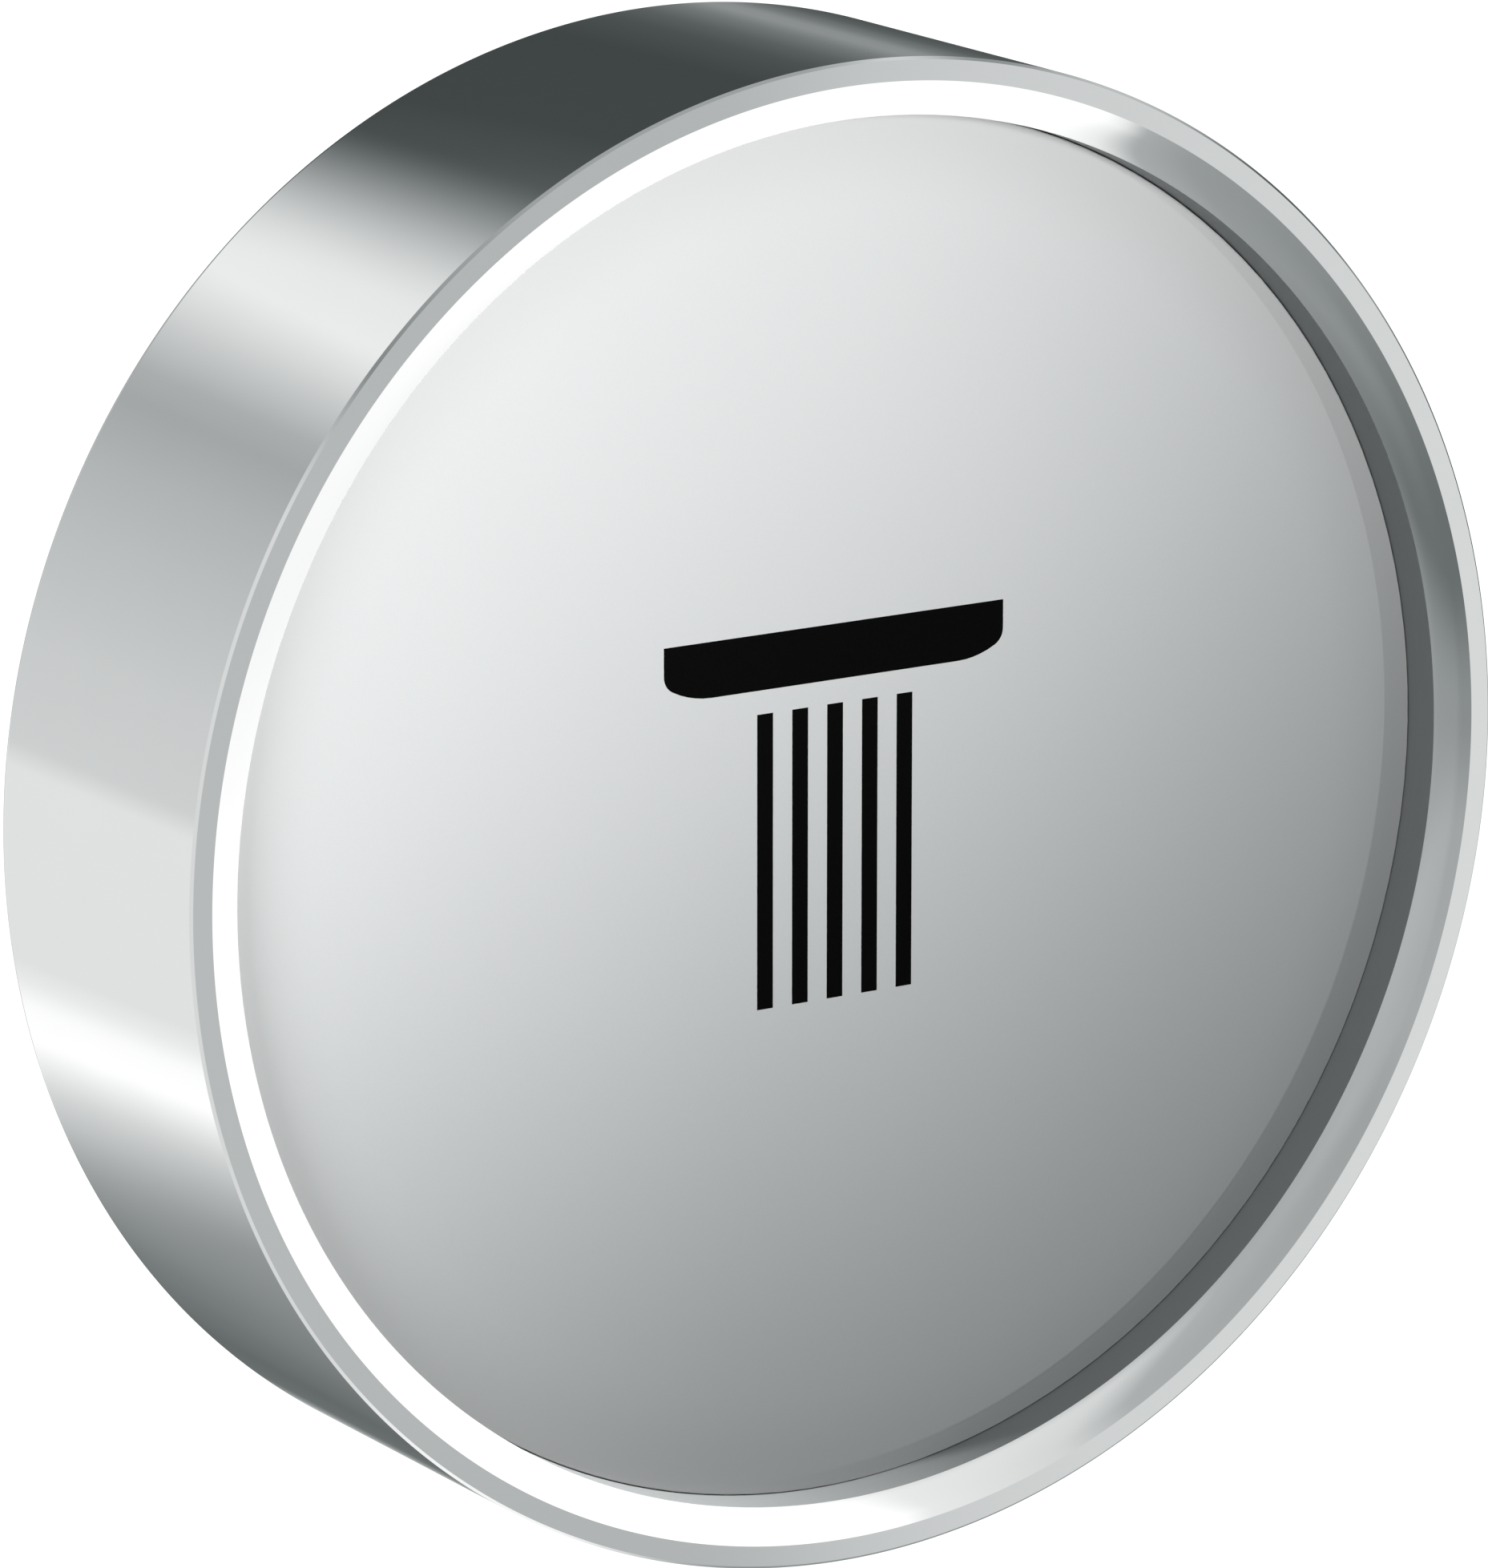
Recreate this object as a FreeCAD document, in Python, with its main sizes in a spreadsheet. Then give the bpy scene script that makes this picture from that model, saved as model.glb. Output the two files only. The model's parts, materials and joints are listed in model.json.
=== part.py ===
import FreeCAD, Part

import math
import os

import Sketcher

# A wall-mounted push button for a shower control.
# The turning axis is Y, with Z up. The origin is the centre of the bezel ring's rear face, which lies
# on the wall plate; the button faces -Y and everything on the +Y side sits behind the wall plate.
# Lengths are in millimetres. A place behind the wall plate's front is named with _y and is its Y. A
# place in front of it is named with _front, _rear, _seat, _step, _floor or _back, and is its distance
# from the wall plate's front, so its Y is the negative of that size.

SIZES = {
    # bezel ring
    "ring_radius": 25.0,
    "ring_depth": 12.5,
    "rim_inner": 24.23,
    "bore_radius": 23.05,
    "chamfer_depth": 0.52,
    "chamfer_curve": 3.7,
    "edge_break": 0.1,
    "rear_break": 0.25,
    "lip_inner": 20.0,
    "lip_height": 1.6,
    "gasket_inner": 22.2,
    "gasket_outer": 24.0,
    "gasket_depth": 0.9,
    # base plate and its neck
    "plate_radius": 22.95,
    "plate_front": 4.0,
    "plate_step": 3.0,
    "step_radius": 21.1,
    "spigot_radius": 19.9,
    "spigot_back": 0.3,
    "neck_radius": 11.0,
    "neck_end_y": 20.4,
    "neck_break": 0.5,
    "well_radius": 8.0,
    "well_floor_y": 3.0,
    "seal_seat_y": 3.6,
    "seal_end_y": 4.6,
    "wall_rear_y": 5.4,
    "wall_bore": 4.3,
    "chamber_radius": 8.5,
    "cap_front_y": 16.8,
    "cap_rear_y": 19.2,
    "cap_radius": 9.0,
    "snap_groove_radius": 9.6,
    "snap_groove_end_y": 19.95,
    "thread_depth": 0.55,
    "thread_start_y": 2.0,
    "thread_length": 16.0,
    "thread_count": 17.0,
    "thread_half": 0.4,
    # seals, stop ring and fixings of the base plate
    "ring_seal_inner": 20.6,
    "ring_seal_outer": 21.8,
    "ring_seal_front": 2.4,
    "bumper_inner": 19.5,
    "bumper_outer": 20.7,
    "bumper_seat": 3.3,
    "bumper_front": 4.48,
    "bumper_round": 0.3,
    "guide_circle": 15.5,
    "guide_radius": 1.25,
    "guide_front": 6.6,
    "guide_head_radius": 2.2,
    "guide_head_front": 1.0,
    "guide_break": 0.3,
    "guide_count": 3.0,
    "pocket_radius": 3.2,
    "pocket_floor": 1.8,
    "twist_circle": 17.8,
    "twist_radius": 1.25,
    "peg_radius": 1.5,
    "twist_front": 2.0,
    "twist_end_y": 2.5,
    "twist_break": 0.4,
    # washer and lock nut
    "washer_inner": 11.1,
    "washer_outer": 15.2,
    "washer_front_y": 4.0,
    "nut_front_y": 5.0,
    "nut_height": 4.0,
    "nut_rear_y": 9.0,
    "nut_corner": 15.588,
    "nut_flat_break": 0.9,
    "nut_face_radius": 13.3,
    # face disc, symbol and bond
    "disc_radius": 23.02,
    "disc_front": 10.57,
    "disc_rear": 9.37,
    "disc_break": 0.03,
    "symbol_depth": 0.12,
    "head_half": 6.53,
    "head_top": 6.25,
    "head_bottom": 4.395,
    "head_corner_wide": 1.8,
    "head_corner_high": 0.9,
    "head_side_curve": 0.6,
    "head_base_curve": 3.15,
    "head_join_in": 0.3176,
    "head_join_up": 0.3706,
    "stream_half": 0.305,
    "stream_pitch": 1.344,
    "stream_pitch_twice": 2.688,
    "stream_top": 3.6,
    "stream_bottom": 6.29,
    "bond_inner": 3.2,
    "bond_outer": 21.5,
    "bond_rear": 9.22,
    # carrier
    "carrier_radius": 22.9,
    "carrier_rear": 7.0,
    "skirt_inner": 21.5,
    "skirt_rear": 5.6,
    "rim_seal_groove": 21.8,
    "rim_seal_front": 8.5,
    "rim_seal_rear": 7.2,
    "rim_seal_centre": 22.4,
    "rim_seal_middle": 7.85,
    "rim_seal_wire": 0.6,
    "boss_radius": 3.0,
    "boss_rear": 4.9,
    "slide_bush_outer": 2.0,
    "slide_bush_inner": 1.3,
    "slide_bush_front": 9.1,
    "slide_bush_rear": 4.4,
    # stem and its screw
    "stem_radius": 4.0,
    "stem_seat": 7.5,
    "collar_radius": 7.4,
    "collar_rear": 6.0,
    "shoulder_y": 5.8,
    "rod_radius": 2.5,
    "clip_groove_radius": 2.0,
    "clip_front_y": 19.22,
    "clip_rear_y": 20.02,
    "rod_break": 0.4,
    "rod_end_y": 26.0,
    "rod_thread_radius": 1.25,
    "rod_thread_end_y": 21.0,
    "drill_point": 0.6,
    "screw_head_radius": 2.9,
    "screw_hole": 1.6,
    "screw_radius": 1.5,
    "screw_hole_end_y": 0.5,
    "screw_end_back": 0.8,
    "socket_corner": 1.155,
    "socket_depth": 1.1,
    # bushes and seal of the stem
    "bush_outer": 5.2,
    "bush_inner": 4.05,
    "bush_front_y": 0.4,
    "seal_inner": 4.02,
    "seal_relief": 4.35,
    "seal_lip": 0.25,
    "rear_bush_outer": 3.4,
    "rear_bush_inner": 2.55,
    # heart-shaped track of the latch
    "cam_half": 3.5,
    "cam_bottom": 3.2,
    "cam_top": 4.3,
    "cam_length": 6.0,
    "cam_rear_y": 11.8,
    "track_depth": 1.0,
    "track_half": 2.1,
    "track_front_y": 6.85,
    "track_rear_y": 10.7,
    "heart_half": 1.0,
    "heart_point_half": 0.35,
    "heart_point_y": 9.2,
    "heart_side_y": 8.8,
    "horn_side_y": 8.25,
    "horn_tip_y": 7.95,
    "horn_outer": 0.85,
    "horn_inner": 0.6,
    "notch_half": 0.42,
    "notch_side_y": 8.35,
    "notch_floor_y": 8.52,
    "pin_hole_radius": 0.75,
    "pin_hole_y": 8.8,
    "pin_half_length": 3.4,
    # rear cap, latch pin and leaf spring
    "tongue_half": 2.2,
    "tongue_bottom": 2.8,
    "tongue_top": 4.5,
    "tongue_length": 1.8,
    "pivot_y": 15.91,
    "pivot_hole": 0.45,
    "tool_hole_radius": 0.8,
    "tool_hole_centre": 6.2,
    "tool_hole_depth": 1.2,
    "wire_radius": 0.4,
    "wire_bend": 0.5,
    "arm_length": 6.0,
    "arm_offset": 1.5,
    "arm_z": 5.0,
    "tip_drop": 1.65,
    "pivot_drop": 2.1,
    "leaf_half": 2.2,
    "leaf_thickness": 0.2,
    "leaf_slot_half": 2.25,
    "leaf_root_y": 18.2,
    "leaf_root_z": 6.1,
    "leaf_bend_y": 16.2,
    "leaf_touch_y": 11.4,
    "leaf_touch_z": 5.43,
    "leaf_end_y": 10.2,
    "leaf_end_z": 5.9,
    # clips
    "snap_inner": 8.1,
    "snap_outer": 9.55,
    "snap_thickness": 0.7,
    "snap_gap_half": 3.2,
    "clip_outer": 4.5,
    "clip_thickness": 0.8,
    "clip_gap_half": 1.7,
    # return spring
    "spring_radius": 6.5,
    "spring_wire": 0.4,
    "spring_end_coils": 1.0,
    "spring_free_coils": 4.5,
    "spring_end_pitch": 0.82,
}

TINY = 1e-9
MINIMUM_CUT = 0.001

document = FreeCAD.newDocument("PushButton")
sheet = document.addObject("Spreadsheet::Sheet", "Sizes")
for row, (size_name, size) in enumerate(SIZES.items(), start=1):
    sheet.set("A%d" % row, size_name)
    sheet.set("B%d" % row, str(size))
    sheet.setAlias("B%d" % row, size_name)
document.recompute()

pieces = []


def number(formula):
    """The value of a sum of sizes, such as 'ring_depth - edge_break'."""
    total = 0.0
    sign = 1.0
    for word in formula.split():
        if word in "+-":
            sign = 1.0 if word == "+" else -1.0
        elif word != "0":
            total += sign * SIZES[word]
    return total


def bound(formula):
    """The same sum as an expression on the sheet."""
    words = []
    for word in formula.split():
        words.append(word if word in "+-0" else "Sizes." + word)
    return " ".join(words)


def opposite(formula):
    """The same sum with its sign turned round."""
    words = formula.split()
    if words[0] not in "+-":
        words.insert(0, "+")
    turned_words = [{"+": "-", "-": "+"}.get(word, word) for word in words]
    if turned_words[0] == "+":
        turned_words.pop(0)
    return " ".join(turned_words)


def bind(thing, prop, formula):
    """Sets a property to a sum of sizes and keeps it tied to the sheet."""
    thing.setExpression(prop, bound(formula))


def new_body(name):
    body = document.addObject("PartDesign::Body", name)
    body.Label = name
    body.AllowCompound = True
    pieces.append(body)
    return body


def new_sketch(body, plane, name, offset=None):
    """A sketch on one of the body's own origin planes, moved along the plane's normal by offset."""
    sketch = body.newObject("Sketcher::SketchObject", name)
    support = next(item for item in body.Origin.OriginFeatures if item.Role == plane)
    sketch.AttachmentSupport = (support, [""])
    sketch.MapMode = "FlatFace"
    if offset:
        sketch.AttachmentOffset = FreeCAD.Placement(
            FreeCAD.Vector(0, 0, number(offset)), FreeCAD.Rotation()
        )
        bind(sketch, "AttachmentOffset.Base.z", offset)
    return sketch


def add_bound(sketch, kind, arguments, formula):
    """Adds a constraint whose value is a sum of sizes."""
    index = sketch.addConstraint(Sketcher.Constraint(kind, *arguments, number(formula)))
    sketch.setExpression("Constraints[%d]" % index, bound(formula))


def hold(sketch, geometry, end, across, up):
    """Fixes one end of a sketched edge at a distance from the sketch's origin along both axes."""
    origin = (-1, 1)
    for kind, axis, formula in (("DistanceX", -2, across), ("DistanceY", -1, up)):
        value = number(formula)
        if abs(value) < TINY:
            sketch.addConstraint(Sketcher.Constraint("PointOnObject", geometry, end, axis))
        elif value > 0:
            add_bound(sketch, kind, (*origin, geometry, end), formula)
        else:
            add_bound(sketch, kind, (geometry, end, *origin), opposite(formula))


def arc_between(first, second, radius, left):
    """The short arc from first to second, and whether it runs anticlockwise. left puts its centre on the left."""
    chord = second.sub(first)
    middle = first.add(second).multiply(0.5)
    rise = math.sqrt(radius ** 2 - (chord.Length / 2) ** 2)
    side = FreeCAD.Vector(-chord.y, chord.x, 0).normalize()
    centre = middle.add(side.multiply(rise if left else -rise))
    start, stop = (first, second) if left else (second, first)
    start_angle = math.atan2(start.y - centre.y, start.x - centre.x)
    stop_angle = math.atan2(stop.y - centre.y, stop.x - centre.x)
    if stop_angle < start_angle:
        stop_angle += 2 * math.pi
    circle = Part.Circle(centre, FreeCAD.Vector(0, 0, 1), radius)
    return Part.ArcOfCircle(circle, start_angle, stop_angle)


def outline(sketch, corners, curves=None):
    """A closed outline through the corners. curves makes the edge after a corner an arc: its radius
    formula, and True if the arc's centre is on the left of the way from corner to corner."""
    curves = curves or {}
    points = [FreeCAD.Vector(number(across), number(up), 0) for across, up in corners]
    edges = []
    for index, first in enumerate(points):
        second = points[(index + 1) % len(points)]
        if index in curves:
            radius, left = curves[index]
            geometry = sketch.addGeometry(arc_between(first, second, number(radius), left))
            add_bound(sketch, "Radius", (geometry,), radius)
            edges.append((geometry, 1, 2) if left else (geometry, 2, 1))
        else:
            edges.append((sketch.addGeometry(Part.LineSegment(first, second)), 1, 2))
    for index, (geometry, start, _) in enumerate(edges):
        before, _, before_end = edges[index - 1]
        sketch.addConstraint(Sketcher.Constraint("Coincident", before, before_end, geometry, start))
        hold(sketch, geometry, start, *corners[index])


def circle(sketch, across, up, radius):
    """A circle in the sketch."""
    centre = FreeCAD.Vector(number(across), number(up), 0)
    shape = Part.Circle(centre, FreeCAD.Vector(0, 0, 1), number(radius))
    geometry = sketch.addGeometry(shape)
    add_bound(sketch, "Radius", (geometry,), radius)
    hold(sketch, geometry, 3, across, up)


def turn(body, sketch, name, kind="PartDesign::Revolution", axis="V_Axis"):
    """Turns a sketch round one of its own axes."""
    feature = body.newObject(kind, name)
    feature.Profile = sketch
    feature.ReferenceAxis = (sketch, [axis])
    feature.Angle = 360
    sketch.Visibility = False
    document.recompute()
    return feature


def turned_body(name, corners, curves=None):
    """A body turned round the Y axis from a half section of (radius, y) corners."""
    body = new_body(name)
    sketch = new_sketch(body, "XY_Plane", name + "_section")
    outline(sketch, corners, curves)
    turn(body, sketch, name + "_turn")
    return body


def pad(body, sketch, length, name):
    """Pads a sketch along its plane's normal."""
    feature = body.newObject("PartDesign::Pad", name)
    feature.Profile = sketch
    bind(feature, "Length", length)
    document.recompute()
    return feature


def cut(body, sketch, depth, name, through=False):
    """Cuts a sketch against its plane's normal, and checks that the cut took material away."""
    before = body.Shape.Volume
    feature = body.newObject("PartDesign::Pocket", name)
    feature.Profile = sketch
    if through:
        feature.Type = "ThroughAll"
    else:
        bind(feature, "Length", depth)
    document.recompute()
    if body.Shape.Volume > before - MINIMUM_CUT:
        raise ValueError(name + " cuts nothing")
    return feature


def repeat_round(body, features, sketch, count, name):
    """Repeats features evenly round the sketch's normal axis."""
    pattern = body.newObject("PartDesign::PolarPattern", name)
    pattern.Originals = features
    pattern.Axis = (sketch, ["N_Axis"])
    pattern.Angle = 360
    bind(pattern, "Occurrences", count)
    body.Tip = pattern
    document.recompute()
    return pattern


# ---- bezel ring: rim, hollow chamfer, bore and the rear lip that the base plate lands on ----
RIM_CHAMFER_EDGE = 9
turned_body(
    "bezel_ring",
    [
        ("lip_inner", "0"),
        ("gasket_inner", "0"),
        ("gasket_inner", "- gasket_depth"),
        ("gasket_outer", "- gasket_depth"),
        ("gasket_outer", "0"),
        ("ring_radius - rear_break", "0"),
        ("ring_radius", "- rear_break"),
        ("ring_radius", "- ring_depth + edge_break"),
        ("ring_radius - edge_break", "- ring_depth"),
        ("rim_inner", "- ring_depth"),
        ("bore_radius", "- ring_depth + chamfer_depth"),
        ("bore_radius", "- lip_height"),
        ("lip_inner", "- lip_height"),
    ],
    {RIM_CHAMFER_EDGE: ("chamfer_curve", True)},
)

# ---- base plate: flange inside the ring, front well, wall, latch chamber and threaded neck ----
base_plate = turned_body(
    "base_plate",
    [
        ("well_radius", "- plate_front"),
        ("bumper_inner", "- plate_front"),
        ("bumper_inner", "- bumper_seat"),
        ("bumper_outer", "- bumper_seat"),
        ("bumper_outer", "- plate_front"),
        ("step_radius", "- plate_front"),
        ("step_radius", "- plate_step"),
        ("plate_radius", "- plate_step"),
        ("plate_radius", "- lip_height"),
        ("ring_seal_outer", "- lip_height"),
        ("ring_seal_outer", "- ring_seal_front"),
        ("ring_seal_inner", "- ring_seal_front"),
        ("ring_seal_inner", "- lip_height"),
        ("spigot_radius", "- lip_height"),
        ("spigot_radius", "- spigot_back"),
        ("neck_radius", "- spigot_back"),
        ("neck_radius", "neck_end_y - neck_break"),
        ("neck_radius - neck_break", "neck_end_y"),
        ("cap_radius", "neck_end_y"),
        ("cap_radius", "snap_groove_end_y"),
        ("snap_groove_radius", "snap_groove_end_y"),
        ("snap_groove_radius", "cap_rear_y"),
        ("cap_radius", "cap_rear_y"),
        ("cap_radius", "cap_front_y"),
        ("chamber_radius", "cap_front_y"),
        ("chamber_radius", "wall_rear_y"),
        ("wall_bore", "wall_rear_y"),
        ("wall_bore", "seal_end_y"),
        ("bush_outer", "seal_end_y"),
        ("bush_outer", "well_floor_y"),
        ("well_radius", "well_floor_y"),
    ],
)

# pockets that the carrier's bosses enter at full travel, with the guide pins' stepped holes
pocket_sketch = new_sketch(base_plate, "XZ_Plane", "boss_pocket", "plate_front")
circle(pocket_sketch, "0", "guide_circle", "pocket_radius")
boss_pocket = cut(base_plate, pocket_sketch, "plate_front - pocket_floor", "boss_pocket_cut")
repeat_round(base_plate, [boss_pocket], pocket_sketch, "guide_count", "boss_pockets")

hole_sketch = new_sketch(base_plate, "XZ_Plane", "guide_hole", "plate_front")
circle(hole_sketch, "0", "guide_circle", "guide_radius")
guide_hole = cut(base_plate, hole_sketch, "plate_front", "guide_hole_cut", through=True)
repeat_round(base_plate, [guide_hole], hole_sketch, "guide_count", "guide_holes")

head_sketch = new_sketch(base_plate, "XZ_Plane", "guide_head_hole", "guide_head_front")
circle(head_sketch, "0", "guide_circle", "guide_head_radius")
head_hole = cut(base_plate, head_sketch, "guide_head_front", "guide_head_cut")
repeat_round(base_plate, [head_hole], head_sketch, "guide_count", "guide_head_holes")

twist_sketch = new_sketch(base_plate, "XZ_Plane", "twist_hole", "twist_front")
circle(twist_sketch, "0", "- twist_circle", "twist_radius")
cut(base_plate, twist_sketch, "twist_front", "twist_hole_cut")

# the neck's thread, drawn as one ring groove for each turn
thread_sketch = new_sketch(base_plate, "XY_Plane", "thread_tooth")
outline(
    thread_sketch,
    [
        ("neck_radius - thread_depth", "thread_start_y"),
        ("neck_radius + thread_depth", "thread_start_y - thread_half - thread_half"),
        ("neck_radius + thread_depth", "thread_start_y + thread_half + thread_half"),
    ],
)
thread_groove = turn(base_plate, thread_sketch, "thread_groove", "PartDesign::Groove")
thread = base_plate.newObject("PartDesign::LinearPattern", "neck_thread")
thread.Originals = [thread_groove]
thread.Direction = (thread_sketch, ["V_Axis"])
bind(thread, "Length", "thread_length")
bind(thread, "Occurrences", "thread_count")
base_plate.Tip = thread
document.recompute()

# ---- seals, gasket and stop ring of the fixed side ----
turned_body(
    "bezel_seal",
    [
        ("ring_seal_inner", "- ring_seal_front"),
        ("ring_seal_outer", "- ring_seal_front"),
        ("ring_seal_outer", "- lip_height"),
        ("ring_seal_inner", "- lip_height"),
    ],
)

turned_body(
    "panel_gasket",
    [
        ("gasket_inner", "- gasket_depth"),
        ("gasket_outer", "- gasket_depth"),
        ("gasket_outer", "0"),
        ("gasket_inner", "0"),
    ],
)

turned_body(
    "travel_bumper",
    [
        ("bumper_inner", "- bumper_seat"),
        ("bumper_inner", "- bumper_front + bumper_round"),
        ("bumper_inner + bumper_round", "- bumper_front"),
        ("bumper_outer - bumper_round", "- bumper_front"),
        ("bumper_outer", "- bumper_front + bumper_round"),
        ("bumper_outer", "- bumper_seat"),
    ],
)

turned_body(
    "stem_seal",
    [
        ("seal_inner", "seal_seat_y"),
        ("bush_outer", "seal_seat_y"),
        ("bush_outer", "seal_end_y"),
        ("seal_inner", "seal_end_y"),
        ("seal_inner", "seal_end_y - seal_lip"),
        ("seal_relief", "seal_seat_y + seal_lip + seal_lip"),
        ("seal_inner", "seal_seat_y + seal_lip"),
    ],
)

# ---- bushes that guide the stem ----
turned_body(
    "guide_bush",
    [
        ("bush_inner", "bush_front_y"),
        ("bush_outer - guide_break", "bush_front_y"),
        ("bush_outer", "bush_front_y + guide_break"),
        ("bush_outer", "seal_seat_y"),
        ("bush_inner", "seal_seat_y"),
    ],
)

turned_body(
    "rear_bush",
    [
        ("rear_bush_inner", "cap_front_y"),
        ("rear_bush_outer", "cap_front_y"),
        ("rear_bush_outer", "cap_rear_y"),
        ("rear_bush_inner", "cap_rear_y"),
    ],
)

# ---- guide pins, pressed in from the rear of the base plate: head, shank and rounded-off nose ----
guide_pins = new_body("guide_pins")
pin_sketch = new_sketch(guide_pins, "YZ_Plane", "guide_pin_section")
pin_sketch.AttachmentOffset.Base.y = SIZES["guide_circle"]
bind(pin_sketch, "AttachmentOffset.Base.y", "guide_circle")
outline(
    pin_sketch,
    [
        ("- spigot_back", "0"),
        ("- spigot_back", "guide_head_radius"),
        ("- guide_head_front", "guide_head_radius"),
        ("- guide_head_front", "guide_radius"),
        ("- guide_front + guide_break", "guide_radius"),
        ("- guide_front", "guide_radius - guide_break"),
        ("- guide_front", "0"),
    ],
)
guide_pin = turn(guide_pins, pin_sketch, "guide_pin_turn", axis="H_Axis")
pin_ring = guide_pins.newObject("PartDesign::PolarPattern", "guide_pin_ring")
pin_ring.Originals = [guide_pin]
pin_ring.Axis = (next(item for item in guide_pins.Origin.OriginFeatures if item.Role == "Y_Axis"), [""])
pin_ring.Angle = 360
bind(pin_ring, "Occurrences", "guide_count")
guide_pins.Tip = pin_ring
document.recompute()

# ---- anti-twist pin: shank in the base plate, wider peg for a hole in the wall plate ----
anti_twist_pin = turned_body(
    "anti_twist_pin",
    [
        ("0", "- twist_front"),
        ("twist_radius", "- twist_front"),
        ("twist_radius", "- spigot_back"),
        ("peg_radius", "- spigot_back"),
        ("peg_radius", "twist_end_y - twist_break"),
        ("peg_radius - twist_break", "twist_end_y"),
        ("0", "twist_end_y"),
    ],
)
anti_twist_pin.Placement.Base.z = -SIZES["twist_circle"]
bind(anti_twist_pin, "Placement.Base.z", "- twist_circle")

# ---- washer and lock nut on the neck ----
turned_body(
    "neck_washer",
    [
        ("washer_inner", "washer_front_y"),
        ("washer_outer - edge_break", "washer_front_y"),
        ("washer_outer", "washer_front_y + edge_break"),
        ("washer_outer", "nut_front_y - edge_break"),
        ("washer_outer - edge_break", "nut_front_y"),
        ("washer_inner", "nut_front_y"),
    ],
)

hexagon = document.addObject("Part::Prism", "nut_hexagon")
hexagon.Polygon = 6
bind(hexagon, "Circumradius", "nut_corner")
bind(hexagon, "Height", "nut_height")
hexagon.Placement.Rotation = FreeCAD.Rotation(FreeCAD.Vector(1, 0, 0), -90)
bind(hexagon, "Placement.Base.y", "nut_front_y")
nut_blank = turned_body(
    "nut_blank",
    [
        ("neck_radius", "nut_front_y"),
        ("nut_face_radius", "nut_front_y"),
        ("nut_corner", "nut_front_y + nut_flat_break"),
        ("nut_corner", "nut_rear_y - nut_flat_break"),
        ("nut_face_radius", "nut_rear_y"),
        ("neck_radius", "nut_rear_y"),
    ],
)
pieces.remove(nut_blank)
lock_nut = document.addObject("Part::Common", "lock_nut")
lock_nut.Base = hexagon
lock_nut.Tool = nut_blank
lock_nut.Label = "lock_nut"
pieces.append(lock_nut)

# ---- rear cap: plug, tongue with the latch pivot, slot for the leaf spring ----
rear_cap = turned_body(
    "rear_cap",
    [
        ("rear_bush_outer", "cap_front_y"),
        ("cap_radius", "cap_front_y"),
        ("cap_radius", "cap_rear_y"),
        ("rear_bush_outer", "cap_rear_y"),
    ],
)
tongue_sketch = new_sketch(rear_cap, "XZ_Plane", "tongue", "- cap_front_y - edge_break")
outline(
    tongue_sketch,
    [
        ("- tongue_half", "tongue_bottom"),
        ("tongue_half", "tongue_bottom"),
        ("tongue_half", "tongue_top"),
        ("- tongue_half", "tongue_top"),
    ],
)
pad(rear_cap, tongue_sketch, "tongue_length + edge_break", "tongue_pad")
pivot_sketch = new_sketch(rear_cap, "XY_Plane", "pivot_hole", "tongue_top")
circle(pivot_sketch, "0", "pivot_y", "pivot_hole")
cut(rear_cap, pivot_sketch, "tongue_top - tongue_bottom", "pivot_hole_cut")
bush_sketch = new_sketch(rear_cap, "XZ_Plane", "bush_hole", "- cap_front_y")
circle(bush_sketch, "0", "0", "rear_bush_outer")
cut(rear_cap, bush_sketch, "cap_rear_y - cap_front_y", "bush_hole_cut")
slot_sketch = new_sketch(rear_cap, "XZ_Plane", "leaf_slot", "- cap_front_y")
outline(
    slot_sketch,
    [
        ("- leaf_slot_half", "leaf_root_z"),
        ("leaf_slot_half", "leaf_root_z"),
        ("leaf_slot_half", "leaf_root_z + leaf_thickness"),
        ("- leaf_slot_half", "leaf_root_z + leaf_thickness"),
    ],
)
cut(rear_cap, slot_sketch, "leaf_root_y - cap_front_y", "leaf_slot_cut")
tool_sketch = new_sketch(rear_cap, "XZ_Plane", "tool_hole", "- cap_rear_y + tool_hole_depth")
circle(tool_sketch, "tool_hole_centre", "0", "tool_hole_radius")
circle(tool_sketch, "- tool_hole_centre", "0", "tool_hole_radius")
cut(rear_cap, tool_sketch, "tool_hole_depth", "tool_hole_cut")


# ---- open clips ----
def open_ring(name, inner, outer, gap_half, front, thickness):
    """A flat snap ring round the Y axis, open at the bottom."""
    body = new_body(name)
    sketch = new_sketch(body, "XZ_Plane", name + "_outline", "- " + front + " - " + thickness)
    ends = []
    for radius in (outer, inner):
        opening = math.asin(number(gap_half) / number(radius))
        start = -math.pi / 2 + opening
        stop = 3 * math.pi / 2 - opening
        round_edge = Part.Circle(FreeCAD.Vector(), FreeCAD.Vector(0, 0, 1), number(radius))
        arc = sketch.addGeometry(Part.ArcOfCircle(round_edge, start, stop))
        sketch.addConstraint(Sketcher.Constraint("Coincident", arc, 3, -1, 1))
        add_bound(sketch, "Radius", (arc,), radius)
        ends.append((arc, round_edge.value(start), round_edge.value(stop)))
    (outer_arc, outer_start, outer_stop), (inner_arc, inner_start, inner_stop) = ends
    for end, first, second in ((1, outer_start, inner_start), (2, outer_stop, inner_stop)):
        line = sketch.addGeometry(Part.LineSegment(first, second))
        sketch.addConstraint(Sketcher.Constraint("Coincident", line, 1, outer_arc, end))
        sketch.addConstraint(Sketcher.Constraint("Coincident", line, 2, inner_arc, end))
        sketch.addConstraint(Sketcher.Constraint("Vertical", line))
        arguments = (-1, 1, line, 1) if first.x > 0 else (line, 1, -1, 1)
        add_bound(sketch, "DistanceX", arguments, gap_half)
    pad(body, sketch, thickness, name + "_pad")
    return body


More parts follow.
